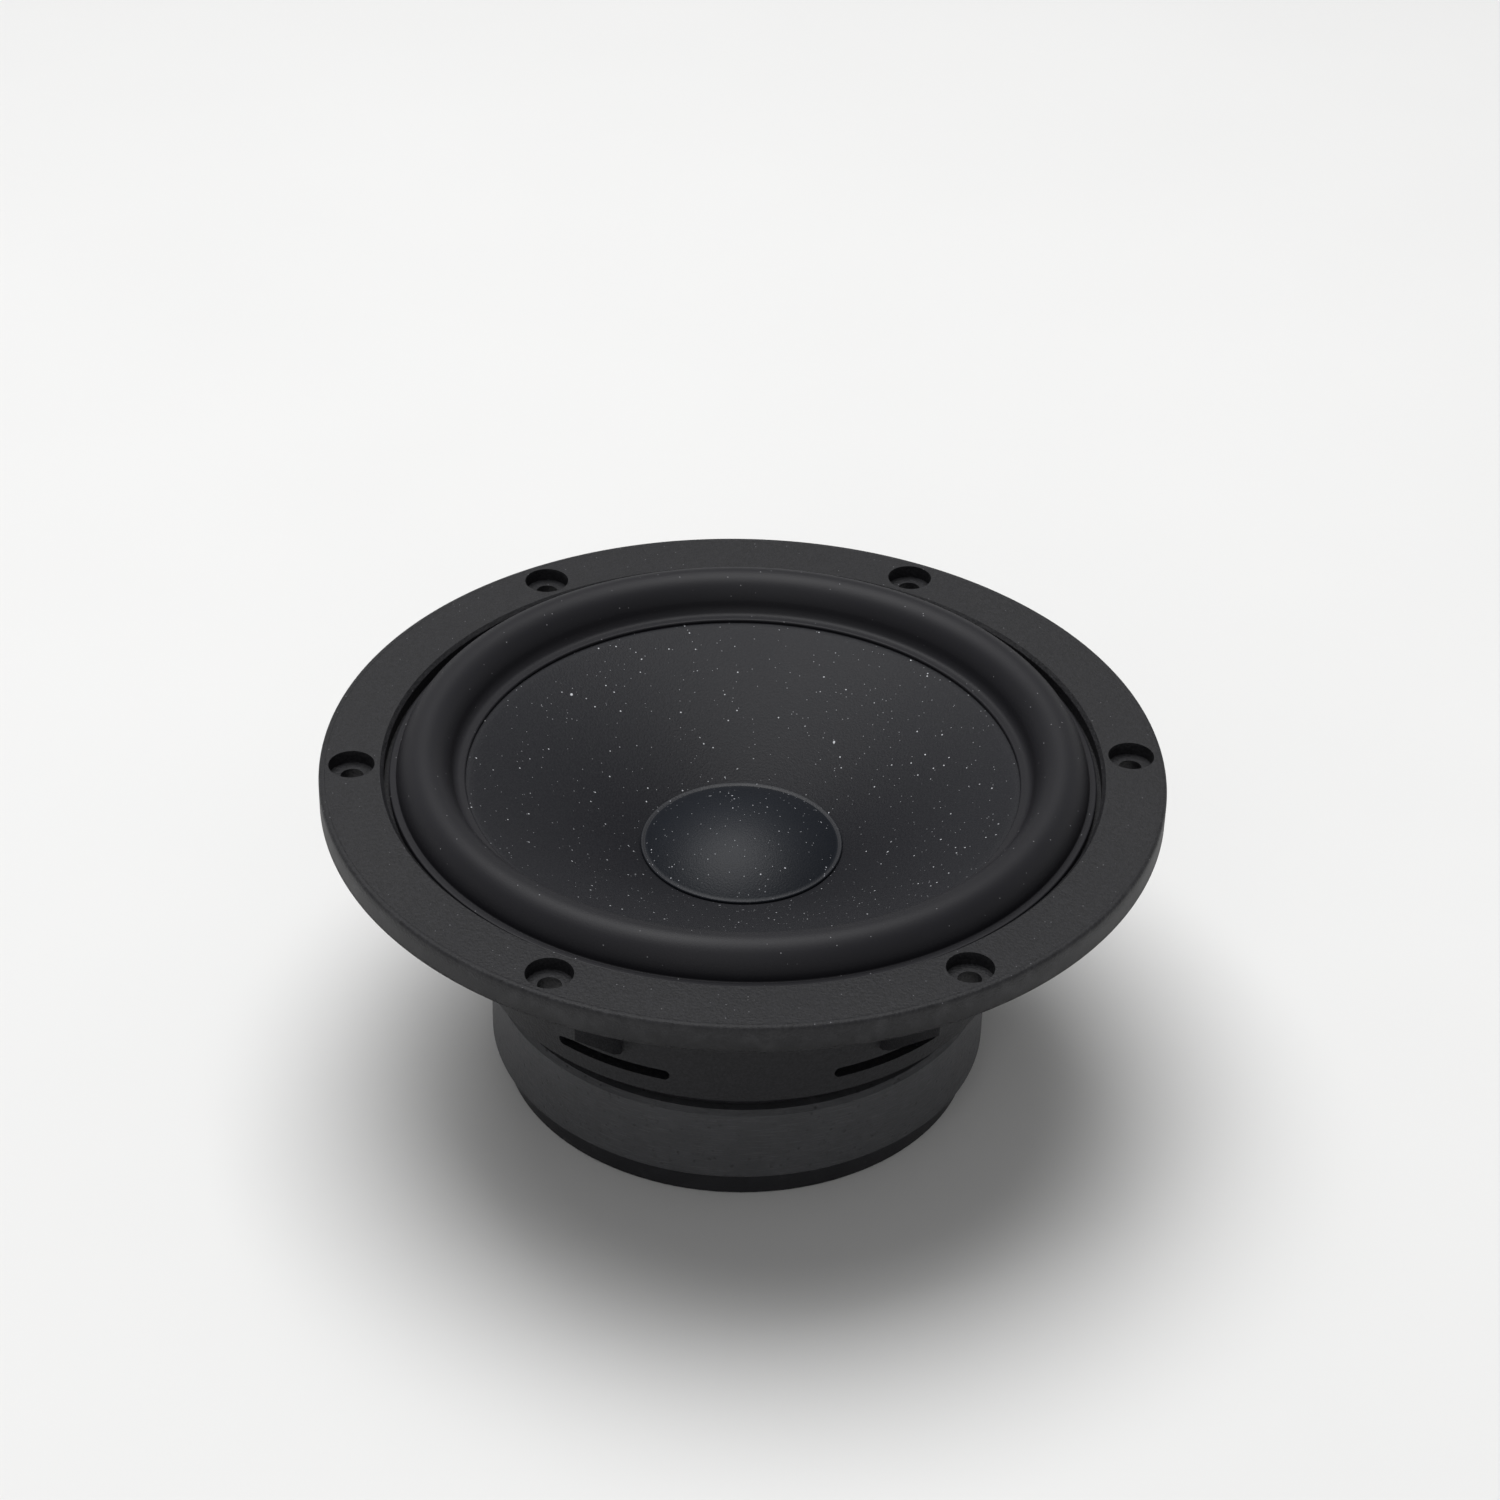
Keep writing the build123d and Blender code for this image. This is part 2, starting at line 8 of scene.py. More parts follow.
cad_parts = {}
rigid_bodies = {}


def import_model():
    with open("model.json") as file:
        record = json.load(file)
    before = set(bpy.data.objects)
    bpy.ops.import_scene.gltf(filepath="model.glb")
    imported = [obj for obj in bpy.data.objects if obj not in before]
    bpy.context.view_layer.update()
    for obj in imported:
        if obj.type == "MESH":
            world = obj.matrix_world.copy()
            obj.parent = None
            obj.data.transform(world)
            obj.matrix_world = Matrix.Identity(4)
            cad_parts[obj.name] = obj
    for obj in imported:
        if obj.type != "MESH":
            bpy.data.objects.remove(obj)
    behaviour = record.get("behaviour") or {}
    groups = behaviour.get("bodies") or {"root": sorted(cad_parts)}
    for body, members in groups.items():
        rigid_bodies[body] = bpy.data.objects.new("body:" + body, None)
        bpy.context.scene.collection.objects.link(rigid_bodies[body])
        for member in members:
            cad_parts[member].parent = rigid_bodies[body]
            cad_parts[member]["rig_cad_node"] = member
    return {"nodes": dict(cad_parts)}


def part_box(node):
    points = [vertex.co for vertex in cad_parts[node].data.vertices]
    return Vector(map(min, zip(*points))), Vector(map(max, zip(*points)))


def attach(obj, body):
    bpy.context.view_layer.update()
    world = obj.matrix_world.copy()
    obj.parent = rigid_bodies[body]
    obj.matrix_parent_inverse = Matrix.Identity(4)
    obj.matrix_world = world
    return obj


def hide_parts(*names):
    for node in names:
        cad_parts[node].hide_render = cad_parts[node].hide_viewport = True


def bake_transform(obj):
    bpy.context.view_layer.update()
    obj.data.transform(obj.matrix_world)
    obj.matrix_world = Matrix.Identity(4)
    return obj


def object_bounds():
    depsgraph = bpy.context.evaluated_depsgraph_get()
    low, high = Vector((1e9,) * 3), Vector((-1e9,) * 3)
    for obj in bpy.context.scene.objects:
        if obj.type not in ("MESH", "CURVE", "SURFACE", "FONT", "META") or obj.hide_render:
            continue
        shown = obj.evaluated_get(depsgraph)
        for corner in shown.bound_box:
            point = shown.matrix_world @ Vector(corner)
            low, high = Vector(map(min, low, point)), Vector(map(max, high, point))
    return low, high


MM = 0.001
POLE_LIMIT = 1e-7  # metres; outline points nearer to the axis are poles
KEEP = 0.06  # mm between a rounding and the point that holds its straight side flat
BRAID_STRANDS, BRAID_LAY = 12, 2.4  # strands round a lead, mm along it for one crossing
UV_PER_MM = 0.1  # share of the map's width per mm along a lead
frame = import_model()
cad_low, cad_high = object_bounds()


def node_span(name):
    """Outer radius, lowest and highest z of a CAD node, in millimetres."""
    low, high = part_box(name)
    return high.x / MM, low.z / MM, high.z / MM


# ---------------------------------------------------------------- surfaces
def add_mesh(name, points, faces, uv=None):
    """A smooth mesh object from an array of points and lists of faces; uv is one pair per point."""
    mesh = bpy.data.meshes.new(name)
    mesh.from_pydata(points.tolist(), [], faces)
    mesh.polygons.foreach_set("use_smooth", np.ones(len(mesh.polygons), bool))
    if uv is not None:
        corner = np.empty(len(mesh.loops), np.int32)
        mesh.loops.foreach_get("vertex_index", corner)
        layer = mesh.uv_layers.new(name="along_around")
        layer.data.foreach_set("uv", uv[corner].astype(np.float32).ravel())
    mesh.update()
    piece = bpy.data.objects.new(name, mesh)
    bpy.context.scene.collection.objects.link(piece)
    return piece


def ring_faces(rings, around):
    """Quads between rings of points, each joining places j and j + 1 of rings i and i + 1."""
    i, j = np.meshgrid(np.arange(rings - 1) * around, np.arange(around), indexing="ij")
    ahead = (j + 1) % around
    quads = np.stack([i + j, i + ahead, i + around + ahead, i + around + j], -1)
    return quads.reshape(-1, 4)


def rounded(corners, steps=5):
    """Closed outline in the radius-height plane from corners (r, z) or (r, z, rounding).

    Each corner with a rounding becomes a run of points on the quadratic curve between the two
    tangent points, and each straight side keeps a point close to both of its ends, so that smooth
    shading stays on the rounding.
    """
    table = np.array([(c + (0.0,))[:3] for c in corners], float)
    at, size = table[:, :2], table[:, 2]
    back, ahead = np.roll(at, 1, 0) - at, np.roll(at, -1, 0) - at
    back /= np.linalg.norm(back, axis=1)[:, None]
    ahead /= np.linalg.norm(ahead, axis=1)[:, None]
    out = []
    for p, b, a, q in zip(at, back, ahead, size):
        if q > 0:
            t = np.linspace(0, 1, steps)[:, None]
            curve = (1 - t) ** 2 * (p + q * b) + 2 * t * (1 - t) * p + t**2 * (p + q * a)
            out += [p + (q + KEEP) * b, *curve, p + (q + KEEP) * a]
        else:
            out.append(p)
    return np.array(out)


def turned(name, outline, segments=256):
    """Surface of revolution about Z: point = (r cos t, r sin t, z) for outline point (r, z), turn t.

    The outline is closed. It is walked with its inside on the left hand, and turned round first
    where it isn't, so faces point outwards. Outline points on the axis become one pole each.
    """
    outline = np.asarray(outline, float) * MM
    following = np.roll(outline, -1, 0)
    area = np.sum(outline[:, 0] * following[:, 1] - following[:, 0] * outline[:, 1])
    if area < 0:
        outline = outline[::-1]
    turn = np.linspace(0, 2 * np.pi, segments, endpoint=False)
    r, z = outline[:, 0], outline[:, 1]
    height = np.repeat(z[:, None], segments, 1)
    points = np.stack([np.outer(r, np.cos(turn)), np.outer(r, np.sin(turn)), height], -1)
    points = points.reshape(-1, 3)
    i, j = np.meshgrid(np.arange(len(r)), np.arange(segments), indexing="ij")
    i2, j2 = (i + 1) % len(r), (j + 1) % segments
    on_axis = r < POLE_LIMIT
    index = i * segments + np.where(on_axis[i], 0, j)
    quads = np.stack([index[i, j], index[i, j2], index[i2, j2], index[i2, j]], -1)
    quads = quads[~(on_axis & np.roll(on_axis, -1))].reshape(-1, 4)
    start_pole = quads[:, 0] == quads[:, 1]
    end_pole = quads[:, 2] == quads[:, 3]
    used = np.unique(index)
    fresh = np.zeros(len(points), int)
    fresh[used] = np.arange(len(used))
    quads = fresh[quads]
    faces = quads[~start_pole & ~end_pole].tolist()
    faces += quads[start_pole][:, [0, 2, 3]].tolist() + quads[end_pole][:, [0, 1, 2]].tolist()
    return add_mesh(name, points[used], faces)


def ellipse_run(mid_r, mid_z, half_w, half_h, start, stop, count=48):
    """Points on an ellipse in the radius-height plane, angles in degrees."""
    t = np.radians(np.linspace(start, stop, count))
    return [(mid_r + half_w * np.cos(a), mid_z + half_h * np.sin(a)) for a in t]


def radial_blend(piece, moving_r, fixed_r):
    """Bakes the piece's transform and works out a weight per point, 1 inside moving_r, 0 outside
    fixed_r, linear between; the weights are not stored.
    """
    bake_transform(piece)
    co = np.empty(len(piece.data.vertices) * 3, np.float32)
    piece.data.vertices.foreach_get("co", co)
    r = np.hypot(co[0::3], co[1::3]) / MM
    t = np.clip((fixed_r - r) / (fixed_r - moving_r), 0, 1)
    return piece


# ---------------------------------------------------------------- material maths
class Val:
    """A shader socket; Python's operators on it add Math nodes."""

    def __init__(self, finish, socket):
        self.finish, self.socket = finish, socket

    def do(self, operation, *others):
        return self.finish.math(operation, self, *others)

    def __add__(self, o):
        return self.do("ADD", o)

    def __sub__(self, o):
        return self.do("SUBTRACT", o)

    def __rsub__(self, o):
        return self.finish.math("SUBTRACT", o, self)

    def __mul__(self, o):
        return self.do("MULTIPLY", o)

    def __pow__(self, o):
        return self.do("POWER", o)

    def __gt__(self, o):
        return self.do("GREATER_THAN", o)

    __radd__, __rmul__ = __add__, __mul__

    def band(self, low, high):
        """0 below low, 1 above high, smooth between."""
        return self.finish.node(
            "MapRange", {"Value": self, "From Min": low, "From Max": high},
            interpolation_type="SMOOTHSTEP",
        )

    def wave(self):
        """Its sine."""
        return self.do("SINE")

    def ridge(self):
        """The size of its sine, 0 to 1, twice as many crests."""
        return (self.wave() ** 2.0) ** 0.5

    def capped(self):
        return self.do("MINIMUM", 1.0)


class Finish:
    """One material and its node tree."""

    def __init__(self, name, colour, roughness, metallic=0.0, **fixed):
        self.material = bpy.data.materials.new(name)
        self.material.use_nodes = True
        self.tree = self.material.node_tree
        self.shader = self.tree.nodes["Principled BSDF"]
        self.set("Base Color", (*colour, 1.0))
        self.set("Roughness", roughness)
        self.set("Metallic", metallic)
        for key, value in fixed.items():
            self.set(key.replace("_", " ").title().replace("Ior", "IOR"), value)
        self.object = self.node("TexCoord", {}, out="Object")

    def set(self, socket, value):
        self.plug(self.shader.inputs[socket], value)
        return self

    def plug(self, socket, value):
        if isinstance(value, Val):
            self.tree.links.new(value.socket, socket)
        else:
            socket.default_value = value

    def node(self, kind, inputs, out=0, **settings):
        """Adds a shader node: settings first, then its sockets; returns one output."""
        made = self.tree.nodes.new("ShaderNode" + kind)
        for key, value in settings.items():
            setattr(made, key, value)
        for key, value in inputs.items():
            self.plug(made.inputs[key], value)
        return Val(self, made.outputs[out])

    def math(self, operation, *values):
        return self.node("Math", dict(enumerate(values)), operation=operation)

    def noise(self, scale, detail=2.0, rough=0.5):
        inputs = {"Vector": self.object, "Scale": scale, "Detail": detail, "Roughness": rough}
        return self.node("TexNoise", inputs)

    def rings(self, along, detail):
        """Noise along one measure only, so that it runs in bands across it."""
        inputs = {"W": along, "Scale": 1.0, "Detail": detail}
        return self.node("TexNoise", inputs, noise_dimensions="1D")

    def streaks(self, x, y, z, scale, detail, rough=0.5):
        """Noise drawn out along the axes that are multiplied by less."""
        inputs = {"Vector": self.place(x, y, z), "Scale": scale, "Detail": detail, "Roughness": rough}
        return self.node("TexNoise", inputs)

    def mix(self, share, first, second):
        """Colour mix; first and second are colours or links."""
        wide = [(*c, 1.0) if isinstance(c, tuple) and len(c) == 3 else c for c in (first, second)]
        return self.node("Mix", {0: share, 6: wide[0], 7: wide[1]}, out=2, data_type="RGBA")

    def axes(self):
        """x, y and z of the object coordinates."""
        split = self.tree.nodes.new("ShaderNodeSeparateXYZ")
        self.plug(split.inputs[0], self.object)
        return [Val(self, s) for s in split.outputs]

    def radius(self):
        """Distance from the Z axis, in metres."""
        x, y, _ = self.axes()
        return (x * x + y * y) ** 0.5

    def place(self, x, y, z):
        return self.node("CombineXYZ", {0: x, 1: y, 2: z})

    def bump(self, height, depth, strength=1.0, over=None):
        """Bump of that height, depth in metres, on top of an earlier bump."""
        inputs = {"Height": height, "Distance": depth, "Strength": strength}
        if over is not None:
            inputs["Normal"] = over
        made = self.node("Bump", inputs)
        self.set("Normal", made)
        return made

    def drifted(self, amount, scale):
        """Object coordinates pushed about by a coarse noise."""
        push = self.node("TexNoise", {"Vector": self.object, "Scale": scale}, out="Color")
        centred = self.node("VectorMath", {0: push, 1: (0.5, 0.5, 0.5)}, operation="SUBTRACT")
        scaled = self.node("VectorMath", {0: centred, "Scale": amount}, operation="SCALE")
        return self.node("VectorMath", {0: self.object, 1: scaled}, operation="ADD")

    def dust(self, spacing, size, share, turn=0.0, stretch=1.0, drift=0.0):
        """Mask of sparse specks on upward faces: a share of cells of the given spacing holds one.

        Size is a speck's radius. A stretch under 1 draws specks out along one turned axis into short
        fibres, and drift bends them.
        """
        source = self.drifted(drift, 0.7 / spacing) if drift else self.object
        moved = {"Location": (turn * 0.1, 0.03, 0.0), "Rotation": (0.0, 0.0, turn)}
        at = self.node("Mapping", {"Vector": source, **moved})
        at = self.node("VectorMath", {0: at, 1: (stretch, 1.0, 1.0)}, operation="MULTIPLY")
        cell = {"Vector": at, "Scale": 1.0 / spacing}
        near = self.node("TexVoronoi", cell, out="Distance", feature="F1")
        tint = self.node("TexVoronoi", cell, out="Color", feature="F1")
        pick = self.node("SeparateColor", {0: tint})
        reach = size / spacing
        face = self.node("NewGeometry", {}, out="Normal")
        up = self.node("SeparateXYZ", {0: face}, out=2).band(0.15, 0.6)
        return (1.0 - near.band(reach * 0.55, reach)) * (pick > 1.0 - share) * up

    def on(self, *pieces):
        """Puts the material on pieces; a name means that CAD node."""
        for piece in pieces:
            piece = frame["nodes"][piece] if isinstance(piece, str) else piece
            piece.data.materials.clear()
            piece.data.materials.append(self.material)
        return self


def finish_powder_coat():
    """Black fine-textured powder coat: small rounded grain, slight tone drift, dust, a rubbed rim."""
    f = Finish("powder_coat", (0.01, 0.01, 0.012), 0.5, specular_ior_level=0.32)
    f.slot = "basket"
    grain = f.noise(1700, 3.0, 0.62)
    drift = f.noise(45, 2.0)
    specks = f.dust(0.0013, 0.00013, 0.3)
    rub = f.radius().band(0.0817, 0.0825) * f.noise(260, 3.0).band(0.45, 0.75)
    tone = f.mix(grain.band(0.35, 0.7), (0.0045, 0.0045, 0.0055), (0.0165, 0.0165, 0.019))
    tone = f.mix(drift * 0.5, tone, (0.012, 0.012, 0.0145))
    tone = f.mix(rub * 0.4, tone, (0.04, 0.04, 0.043))
    f.set("Base Color", f.mix(specks * 0.6, tone, (0.3, 0.3, 0.32)))
    f.set("Roughness", 0.46 + drift * 0.1 + grain * 0.14)
    f.bump(grain, 0.00025, 0.8)
    return f


def finish_rubber():
    """Satin moulded rubber: very fine grain, faint bloom and polishing rings round the roll."""
    f = Finish("surround_rubber", (0.011, 0.011, 0.0125), 0.5, specular_ior_level=0.25)
    f.slot = "surround_rubber"
    cloud = f.noise(38, 3.0, 0.55)
    grain = f.noise(4200, 2.0)
    rings = f.rings(f.radius() * 900.0, 2.0)
    specks = f.dust(0.0015, 0.00013, 0.4, 0.4)
    lint = f.dust(0.006, 0.00014, 0.3, 1.1, 0.22, 0.0016)
    tone = f.mix(cloud, (0.0082, 0.008, 0.0103), (0.012, 0.0118, 0.015))
    pale = (specks * 0.75 + lint * 0.4).capped()
    f.set("Base Color", f.mix(pale, tone, (0.36, 0.36, 0.38)))
    f.set("Roughness", 0.46 + cloud * 0.1 + rings * 0.04)
    f.bump(grain + rings * 0.6, 0.00003, 0.5)
    return f


def finish_cone():
    """Matt mineral-filled moulding: fine stipple, cool patches, pale dust and a few fibres."""
    f = Finish("cone_black", (0.011, 0.0115, 0.014), 0.55, specular_ior_level=0.24)
    f.slot = "cone_black"
    patch = f.noise(32, 3.0, 0.6)
    stipple = f.noise(2300, 3.0, 0.65)
    fine = f.dust(0.001, 0.000125, 0.42)
    mid = f.dust(0.00185, 0.00021, 0.34, 0.77, 1.0, 0.0004)
    clot = f.dust(0.0055, 0.00034, 0.4, 2.1, 0.8, 0.0012)
    lint = f.dust(0.0042, 0.00014, 0.4, 0.9, 0.2, 0.002)
    lint = lint + f.dust(0.0046, 0.00013, 0.35, 2.4, 0.2, 0.002)
    tone = f.mix(patch, (0.0078, 0.0077, 0.0102), (0.011, 0.0115, 0.0152))
    tone = f.mix(stipple.band(0.38, 0.72) * 0.65, tone, (0.02, 0.0208, 0.0238))
    pale = fine * 0.6 + mid + clot + lint * 0.6
    f.set("Base Color", f.mix(pale.capped(), tone, (0.56, 0.57, 0.6)))
    f.set("Roughness", 0.5 + patch * 0.08 + stipple * 0.08)
    f.bump(stipple + pale, 0.00014, 0.65)
    return f


def finish_cap():
    """Dust cap: soft satin with a painted highlight as a paler ring on its rim, dust and a little
    lint.
    """
    f = Finish("cap_black", (0.01, 0.011, 0.0145), 0.46, specular_ior_level=0.21)
    f.slot = "cap_black"
    r = f.radius()
    patch = f.noise(60, 3.0)
    stipple = f.noise(2600, 3.0)
    # painted highlight: a paler ring on the flat rim of the cap
    rim = r.band(0.0190, 0.0193) * (1.0 - r.band(0.0197, 0.02))
    fine = f.dust(0.00095, 0.000125, 0.45, 0.3)
    mid = f.dust(0.0018, 0.00021, 0.42, 1.2, 1.0, 0.0004)
    lint = f.dust(0.0036, 0.00015, 0.5, 0.25, 0.17, 0.003)
    lint = lint + f.dust(0.0042, 0.00013, 0.4, 1.9, 0.2, 0.002)
    tone = f.mix(patch, (0.0068, 0.0085, 0.0122), (0.0098, 0.0122, 0.0175))
    tone = f.mix(stipple.band(0.38, 0.72) * 0.5, tone, (0.0145, 0.0162, 0.0205))
    # the paler rim ring is a painted highlight
    tone = f.mix(rim, tone, (0.028, 0.029, 0.033))
    pale = fine * 0.6 + mid + lint * 0.8
    f.set("Base Color", f.mix(pale.capped(), tone, (0.58, 0.59, 0.63)))
    f.set("Roughness", 0.46 + patch * 0.06 - rim * 0.04)
    f.bump(stipple + pale, 0.0001, 0.55)
    return f


def finish_cloth():
    """Resin-dipped woven cloth: square weave on x and y, threads over and under in turn, with painted
    shade between the threads.
    """
    f = Finish("spider_cloth", (0.5, 0.36, 0.14), 0.7, sheen_weight=0.15)
    f.slot = "spider_cloth"
    x, y, _ = f.axes()
    pitch = 2 * np.pi / 0.00062
    over = ((x * pitch).wave() * (y * pitch).wave()).band(-0.3, 0.3)
    warp, weft = (x * pitch * 2.0).ridge(), (y * pitch * 2.0).ridge()
    thread = warp * over + weft * (1.0 - over)
    stain = f.noise(70, 4.0)
    tone = f.mix(stain, (0.42, 0.28, 0.1), (0.6, 0.45, 0.19))
    # painted shade: the colour darkens towards each thread's edges and in the gaps between threads
    f.set("Base Color", f.mix(thread, f.mix(0.55, tone, (0.16, 0.1, 0.03)), tone))
    f.set("Roughness", 0.6 + stain * 0.2)
    f.bump(thread, 0.00012, 0.7)
    return f


def finish_black_steel():
    """Black-passivated turned steel: fine lathe rings, soft metallic sheen."""
    f = Finish("zinc_black", (0.03, 0.03, 0.033), 0.38, 0.75)
    f.slot = "zinc_black"
    _, _, z = f.axes()
    rings = f.rings(f.radius() * 5200.0 + z * 5200.0, 3.0)
    cloud = f.noise(120, 5.0, 0.6)
    rub = f.noise(210.0, 4.0).band(0.55, 0.75)
    tone = f.mix(cloud, (0.018, 0.018, 0.021), (0.04, 0.04, 0.044))
    f.set("Base Color", f.mix(rub * rings.band(0.4, 0.6) * 0.4, tone, (0.13, 0.13, 0.135)))
    f.set("Roughness", 0.3 + cloud * 0.16 + rings * 0.1)
    f.bump(rings, 0.00005, 0.6)
    return f


def finish_ferrite():
    """Sintered ferrite: charcoal, pitted, with pale grinding marks and small chips."""
    f = Finish("ferrite", (0.04, 0.041, 0.045), 0.6)
    f.slot = "ferrite"
    pits = f.noise(700, 4.0, 0.7)
    cloud = f.noise(150, 5.0, 0.65)
    x, y, z = f.axes()
    marks = f.streaks(x * 0.3, y * 0.3, z * 6.0, 900.0, 2.0)
    chips = f.node("TexVoronoi", {"Vector": f.object, "Scale": 420.0}, out="Distance")
    chips = chips.band(0.0, 0.22)
    tone = f.mix(cloud, (0.024, 0.0245, 0.027), (0.05, 0.051, 0.056))
    tone = f.mix(marks.band(0.5, 0.8) * 0.35, tone, (0.1, 0.1, 0.105))
    tone = f.mix(pits.band(0.58, 0.72) * 0.5, tone, (0.012, 0.012, 0.013))
    f.set("Base Color", f.mix((1.0 - chips) * 0.7, tone, (0.01, 0.01, 0.011)))
    f.set("Roughness", 0.48 + cloud * 0.15 + pits * 0.12)
    f.bump(pits + marks * 0.5 + chips * 0.9, 0.00018, 0.75)
    return f


def finish_metal(name, slot, colour, roughness, worn):
    """Plated metal: drawn streaks, small dull patches."""
    f = Finish(name, colour, roughness, 1.0)
    f.slot = slot
    x, y, z = f.axes()
    streaks = f.streaks(x * 0.25, y * 0.25, z * 4.0, 2200.0, 3.0)
    cloud = f.noise(420, 4.0, 0.6)
    dull = tuple(c * worn for c in colour)
    f.set("Base Color", f.mix(cloud, colour, dull))
    f.set("Roughness", roughness * 0.8 + cloud * 0.22 + streaks * 0.08)
    f.bump(streaks + cloud, 0.00002, 0.5)
    return f


def finish_phenolic():
    """Paper phenolic board: brown, with flattened fibres under a thin gloss."""
    f = Finish("phenolic", (0.2, 0.1, 0.04), 0.42, coat_weight=0.25, coat_roughness=0.25)
    f.slot = "phenolic"
    x, y, z = f.axes()
    fibre = f.streaks(x, y * 2.0, z * 0.8, 1900.0, 4.0, 0.7)
    cloud = f.noise(160, 3.0)
    tone = f.mix(cloud, (0.13, 0.058, 0.02), (0.2, 0.098, 0.038))
    f.set("Base Color", f.mix(fibre.band(0.4, 0.8) * 0.55, tone, (0.27, 0.15, 0.065)))
    f.set("Roughness", 0.36 + fibre * 0.15)
    f.bump(fibre, 0.00003, 0.4)
    return f


def finish_wound():
    """Enamelled copper laid in turns up the coil, with painted shade between the turns."""
    f = Finish("coil_wire", (0.6, 0.26, 0.1), 0.28, 0.9, coat_weight=0.6, coat_roughness=0.12)
    f.slot = "coil_wire"
    _, _, z = f.axes()
    turns = (z * (np.pi / 0.00035)).ridge()
    cloud = f.noise(260, 3.0)
    # painted shade: each turn is light on its crown and dark in the groove to the next
    f.set("Base Color", f.mix(turns * 0.8 + cloud * 0.2, (0.2, 0.07, 0.02), (0.75, 0.34, 0.14)))
    f.set("Roughness", 0.22 + cloud * 0.15)
    f.bump(turns, 0.00012, 0.8)
    return f


def finish_paper():
    """Kraft wrap: pale brown fibres."""
    f = Finish("coil_paper", (0.36, 0.25, 0.14), 0.8)
    f.slot = "coil_paper"
    x, y, z = f.axes()
    fibre = f.streaks(x, y, z * 0.3, 2400.0, 5.0, 0.7)
    f.set("Base Color", f.mix(fibre, (0.26, 0.17, 0.09), (0.46, 0.34, 0.2)))
    f.set("Roughness", 0.7 + fibre * 0.2)
    f.bump(fibre, 0.00004, 0.6)
    return f


def finish_film():
    """Amber polyimide film."""
    f = Finish("former_film", (0.4, 0.16, 0.03), 0.25, coat_weight=0.4, coat_roughness=0.1)
    f.slot = "former_film"
    cloud = f.noise(300, 3.0)
    f.set("Base Color", f.mix(cloud, (0.3, 0.11, 0.02), (0.48, 0.2, 0.045)))
    f.set("Roughness", 0.2 + cloud * 0.12)
    f.bump(cloud, 0.00002, 0.4)
    return f


def finish_braid():
    """Tinned copper braid, with painted shade between the strands."""
    f = Finish("tinsel_braid", (0.55, 0.42, 0.32), 0.35, 0.85)
    f.slot = "tinsel_braid"
    place = f.node("UVMap", {}, uv_map="along_around")
    along = f.node("SeparateXYZ", {0: place}) * (np.pi / (BRAID_LAY * UV_PER_MM))
    across = f.node("SeparateXYZ", {0: place}, out=1) * (BRAID_STRANDS * np.pi)
    one = (across + along).do("COSINE").do("ABSOLUTE")
    two = (across - along).do("COSINE").do("ABSOLUTE")
    top = one.do("MAXIMUM", two).band(0.55, 0.95)
    streak = f.noise(3800, 2.0)
    tin = f.noise(700, 3.0)
    tone = f.mix(tin.band(0.35, 0.7), (0.5, 0.3, 0.17), (0.72, 0.66, 0.58))
    # painted shade: dark colour between the strand tops
    f.set("Base Color", f.mix(top, (0.09, 0.06, 0.045), tone))
    f.set("Roughness", 0.28 + streak * 0.25)
    f.bump(streak, 0.00003, 0.5)
    return f


def finish_glue():
    """Dark cured adhesive: glossy, slightly lumpy."""
    f = Finish("cured_glue", (0.012, 0.011, 0.01), 0.25, specular_ior_level=0.55)
    f.slot = "cone_black"
    lump = f.noise(420, 3.0)
    f.set("Base Color", f.mix(lump, (0.01, 0.009, 0.008), (0.022, 0.02, 0.018)))
    f.set("Roughness", 0.18 + lump * 0.2)
    f.bump(lump, 0.00018, 0.6)
    return f


def finish_ground():
    """Pale studio sheet with the faintest mottle."""
    f = Finish("pale_ground", (0.78, 0.78, 0.77), 0.9)
    f.slot = "basket"
    cloud = f.noise(9, 3.0)
    f.set("Base Color", f.mix(cloud, (0.77, 0.77, 0.765), (0.8, 0.8, 0.795)))
    return f


powder_coat, rubber = finish_powder_coat(), finish_rubber()
cone_black, cap_black = finish_cone(), finish_cap()
cloth, black_steel, ferrite = finish_cloth(), finish_black_steel(), finish_ferrite()
phenolic, coil_wire, paper = finish_phenolic(), finish_wound(), finish_paper()
film, braid = finish_film(), finish_braid()
tin = finish_metal("tin_plate", "tin_plate", (0.62, 0.6, 0.55), 0.34, 0.7)
brass = finish_metal("eyelet_brass", "eyelet_brass", (0.66, 0.46, 0.17), 0.3, 0.6)
zinc = finish_metal("screw_steel", "screw_steel", (0.5, 0.5, 0.5), 0.36, 0.7)
rivet_steel = finish_metal("rivet_steel", "rivet_steel", (0.48, 0.48, 0.47), 0.4, 0.65)
solder = finish_metal("solder", "solder", (0.56, 0.56, 0.54), 0.42, 0.6)
aluminium = finish_metal("ring_aluminium", "ring_aluminium", (0.72, 0.72, 0.73), 0.32, 0.8)
copper = finish_metal("lead_copper", "coil_wire", (0.62, 0.29, 0.13), 0.3, 0.7)
mesh_steel = finish_metal("mesh_steel", "mesh_steel", (0.35, 0.35, 0.36), 0.4, 0.6)

# ---------------------------------------------------------------- surround, cone and dust cap
SHEET = 0.8  # mm, thickness of the rubber foot and roll
LIP_RISE = 0.9  # mm, top of the lip above the foot
TOE_START, TOE_BEND = 1.3, 0.1  # mm, from the roll's inner edge to where its toe starts and turns
TOE_JOIN = 9  # the roll's point that the toe runs into

